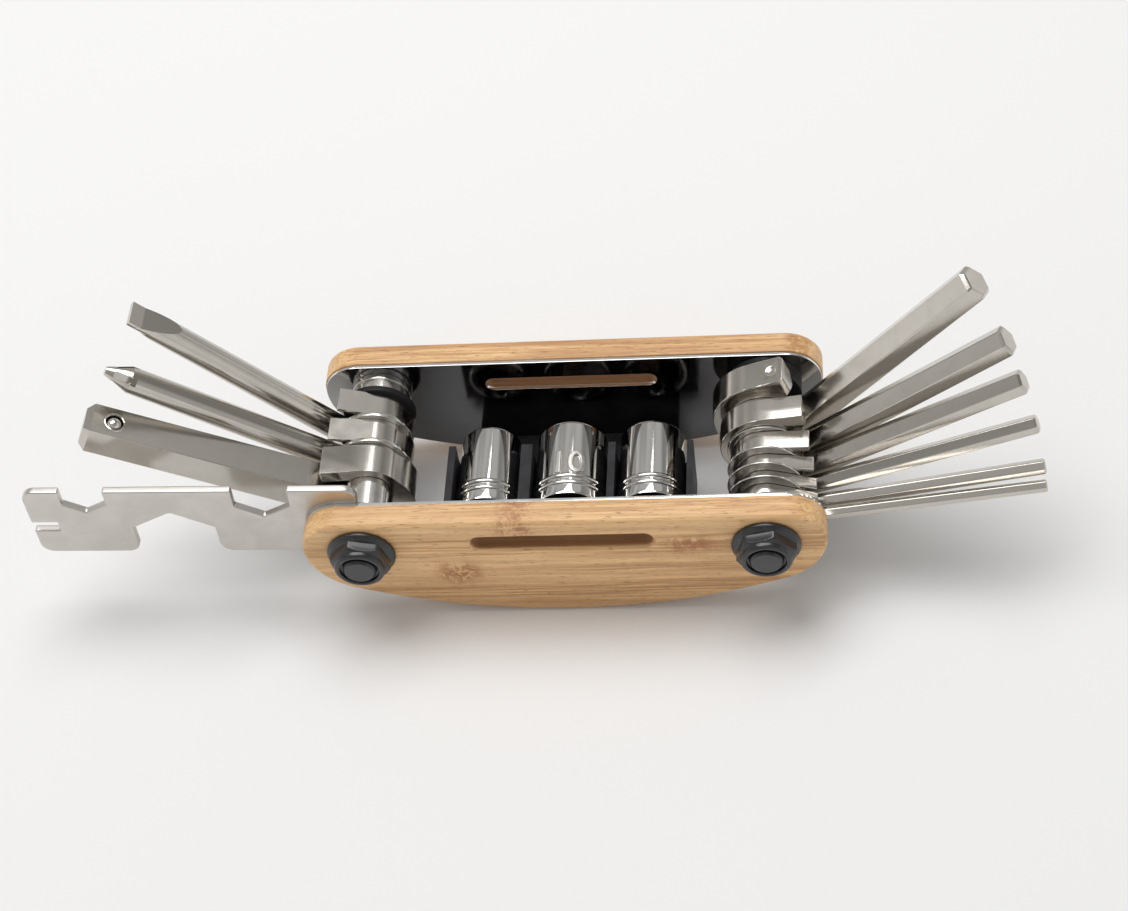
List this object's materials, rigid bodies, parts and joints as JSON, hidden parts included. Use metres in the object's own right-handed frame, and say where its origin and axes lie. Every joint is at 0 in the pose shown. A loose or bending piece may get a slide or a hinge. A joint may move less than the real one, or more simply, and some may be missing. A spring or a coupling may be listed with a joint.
{
  "type": "bicycle multi-tool",
  "caption": "Folding bicycle multi-tool: hex keys, drivers, square socket bar and flat wrench pivot between bamboo side plates that also carry loose sockets.",
  "frame": {"origin": "middle of the line through the two strap slots, on the tool's centre plane", "axes": "+X along the handle towards the hexagon keys, +Y from the nut side to the bolt head side, +Z towards the straight open side of the handle"},
  "size_m": [0.1812, 0.0486, 0.0533],
  "materials": {
    "bamboo": "lacquered bamboo with fine grain",
    "liner_steel": "polished steel plate",
    "tool_steel": "nickel plated steel",
    "socket_chrome": "bright chrome plating",
    "black_steel": "black oxide",
    "black_plastic": "moulded black plastic",
    "washer_steel": "bright zinc plating",
    "spring_steel": "spring wire"
  },
  "bodies": {
    "handle": {"front_scale": "bamboo", "rear_scale": "bamboo", "front_liner": "liner_steel", "rear_liner": "liner_steel", "left_bolt": "black_steel", "right_bolt": "black_steel", "left_nut": "black_steel", "right_nut": "black_steel", "left_sleeve": "washer_steel", "right_sleeve": "washer_steel", "left_front_spacer": "washer_steel", "left_washers": "washer_steel", "left_rear_washer": "black_plastic", "left_spool": "washer_steel", "right_front_spacer": "washer_steel", "right_washers": "washer_steel", "right_middle_spacer": "washer_steel", "right_rear_spacer": "black_plastic", "socket_holder": "black_plastic"},
    "key_2": {"hex_key_2": "tool_steel"},
    "key_2_5": {"hex_key_2_5": "tool_steel"},
    "key_3": {"hex_key_3": "tool_steel"},
    "key_4": {"hex_key_4": "tool_steel"},
    "key_5": {"hex_key_5": "tool_steel"},
    "key_6": {"hex_key_6": "tool_steel"},
    "slotted": {"slotted_driver": "tool_steel"},
    "phillips": {"phillips_driver": "tool_steel"},
    "bar": {"extension_bar": "tool_steel", "detent_spring": "spring_steel"},
    "wrench": {"flat_wrench": "tool_steel"},
    "ball": {"detent_ball": "socket_chrome"},
    "socket_8_body": {"socket_8": "socket_chrome"},
    "socket_10_body": {"socket_10": "socket_chrome"},
    "socket_9_body": {"socket_9": "socket_chrome"}
  },
  "joints": [
    {"name": "hex_key_2_fold", "type": "hinge", "parent": "handle", "child": "key_2", "pos_m": [0.0358, 0, -0.0014], "axis": [0, 1, 0], "range_deg": [-174.4, 39.6]},
    {"name": "hex_key_2_5_fold", "type": "hinge", "parent": "handle", "child": "key_2_5", "pos_m": [0.0358, 0, -0.0014], "axis": [0, 1, 0], "range_deg": [-171.8, 42.2]},
    {"name": "hex_key_3_fold", "type": "hinge", "parent": "handle", "child": "key_3", "pos_m": [0.0358, 0, -0.0014], "axis": [0, 1, 0], "range_deg": [-162.2, 51.8]},
    {"name": "hex_key_4_fold", "type": "hinge", "parent": "handle", "child": "key_4", "pos_m": [0.0358, 0, -0.0014], "axis": [0, 1, 0], "range_deg": [-153.2, 60.8]},
    {"name": "hex_key_5_fold", "type": "hinge", "parent": "handle", "child": "key_5", "pos_m": [0.0358, 0, -0.0014], "axis": [0, 1, 0], "range_deg": [-145.9, 68.1]},
    {"name": "hex_key_6_fold", "type": "hinge", "parent": "handle", "child": "key_6", "pos_m": [0.0358, 0, -0.0014], "axis": [0, 1, 0], "range_deg": [-134.7, 79.3]},
    {"name": "slotted_driver_fold", "type": "hinge", "parent": "handle", "child": "slotted", "pos_m": [-0.0358, 0, -0.0014], "axis": [0, -1, 0], "range_deg": [-123.1, 76.9]},
    {"name": "phillips_driver_fold", "type": "hinge", "parent": "handle", "child": "phillips", "pos_m": [-0.0358, 0, -0.0014], "axis": [0, -1, 0], "range_deg": [-136.5, 65.5]},
    {"name": "extension_bar_fold", "type": "hinge", "parent": "handle", "child": "bar", "pos_m": [-0.0358, 0, -0.0014], "axis": [0, -1, 0], "range_deg": [-147.4, 56.6]},
    {"name": "flat_wrench_fold", "type": "hinge", "parent": "handle", "child": "wrench", "pos_m": [-0.0358, 0, -0.0014], "axis": [0, -1, 0], "range_deg": [-178.3, 31.7]},
    {"name": "detent_ball_press", "type": "slide", "parent": "bar", "child": "ball", "axis": [-0.4478, 0, -0.8942], "range_m": [0, 0.0004], "stiffness_N_per_m": 1500, "springref_m": -0.0006, "deforming": ["detent_spring"]},
    {"name": "socket_8_lift", "type": "slide", "parent": "handle", "child": "socket_8_body", "axis": [0, 0, 1], "range_m": [0, 0.03]},
    {"name": "socket_10_lift", "type": "slide", "parent": "handle", "child": "socket_10_body", "axis": [0, 0, 1], "range_m": [0, 0.03]},
    {"name": "socket_9_lift", "type": "slide", "parent": "handle", "child": "socket_9_body", "axis": [0, 0, 1], "range_m": [0, 0.03]}
  ]
}
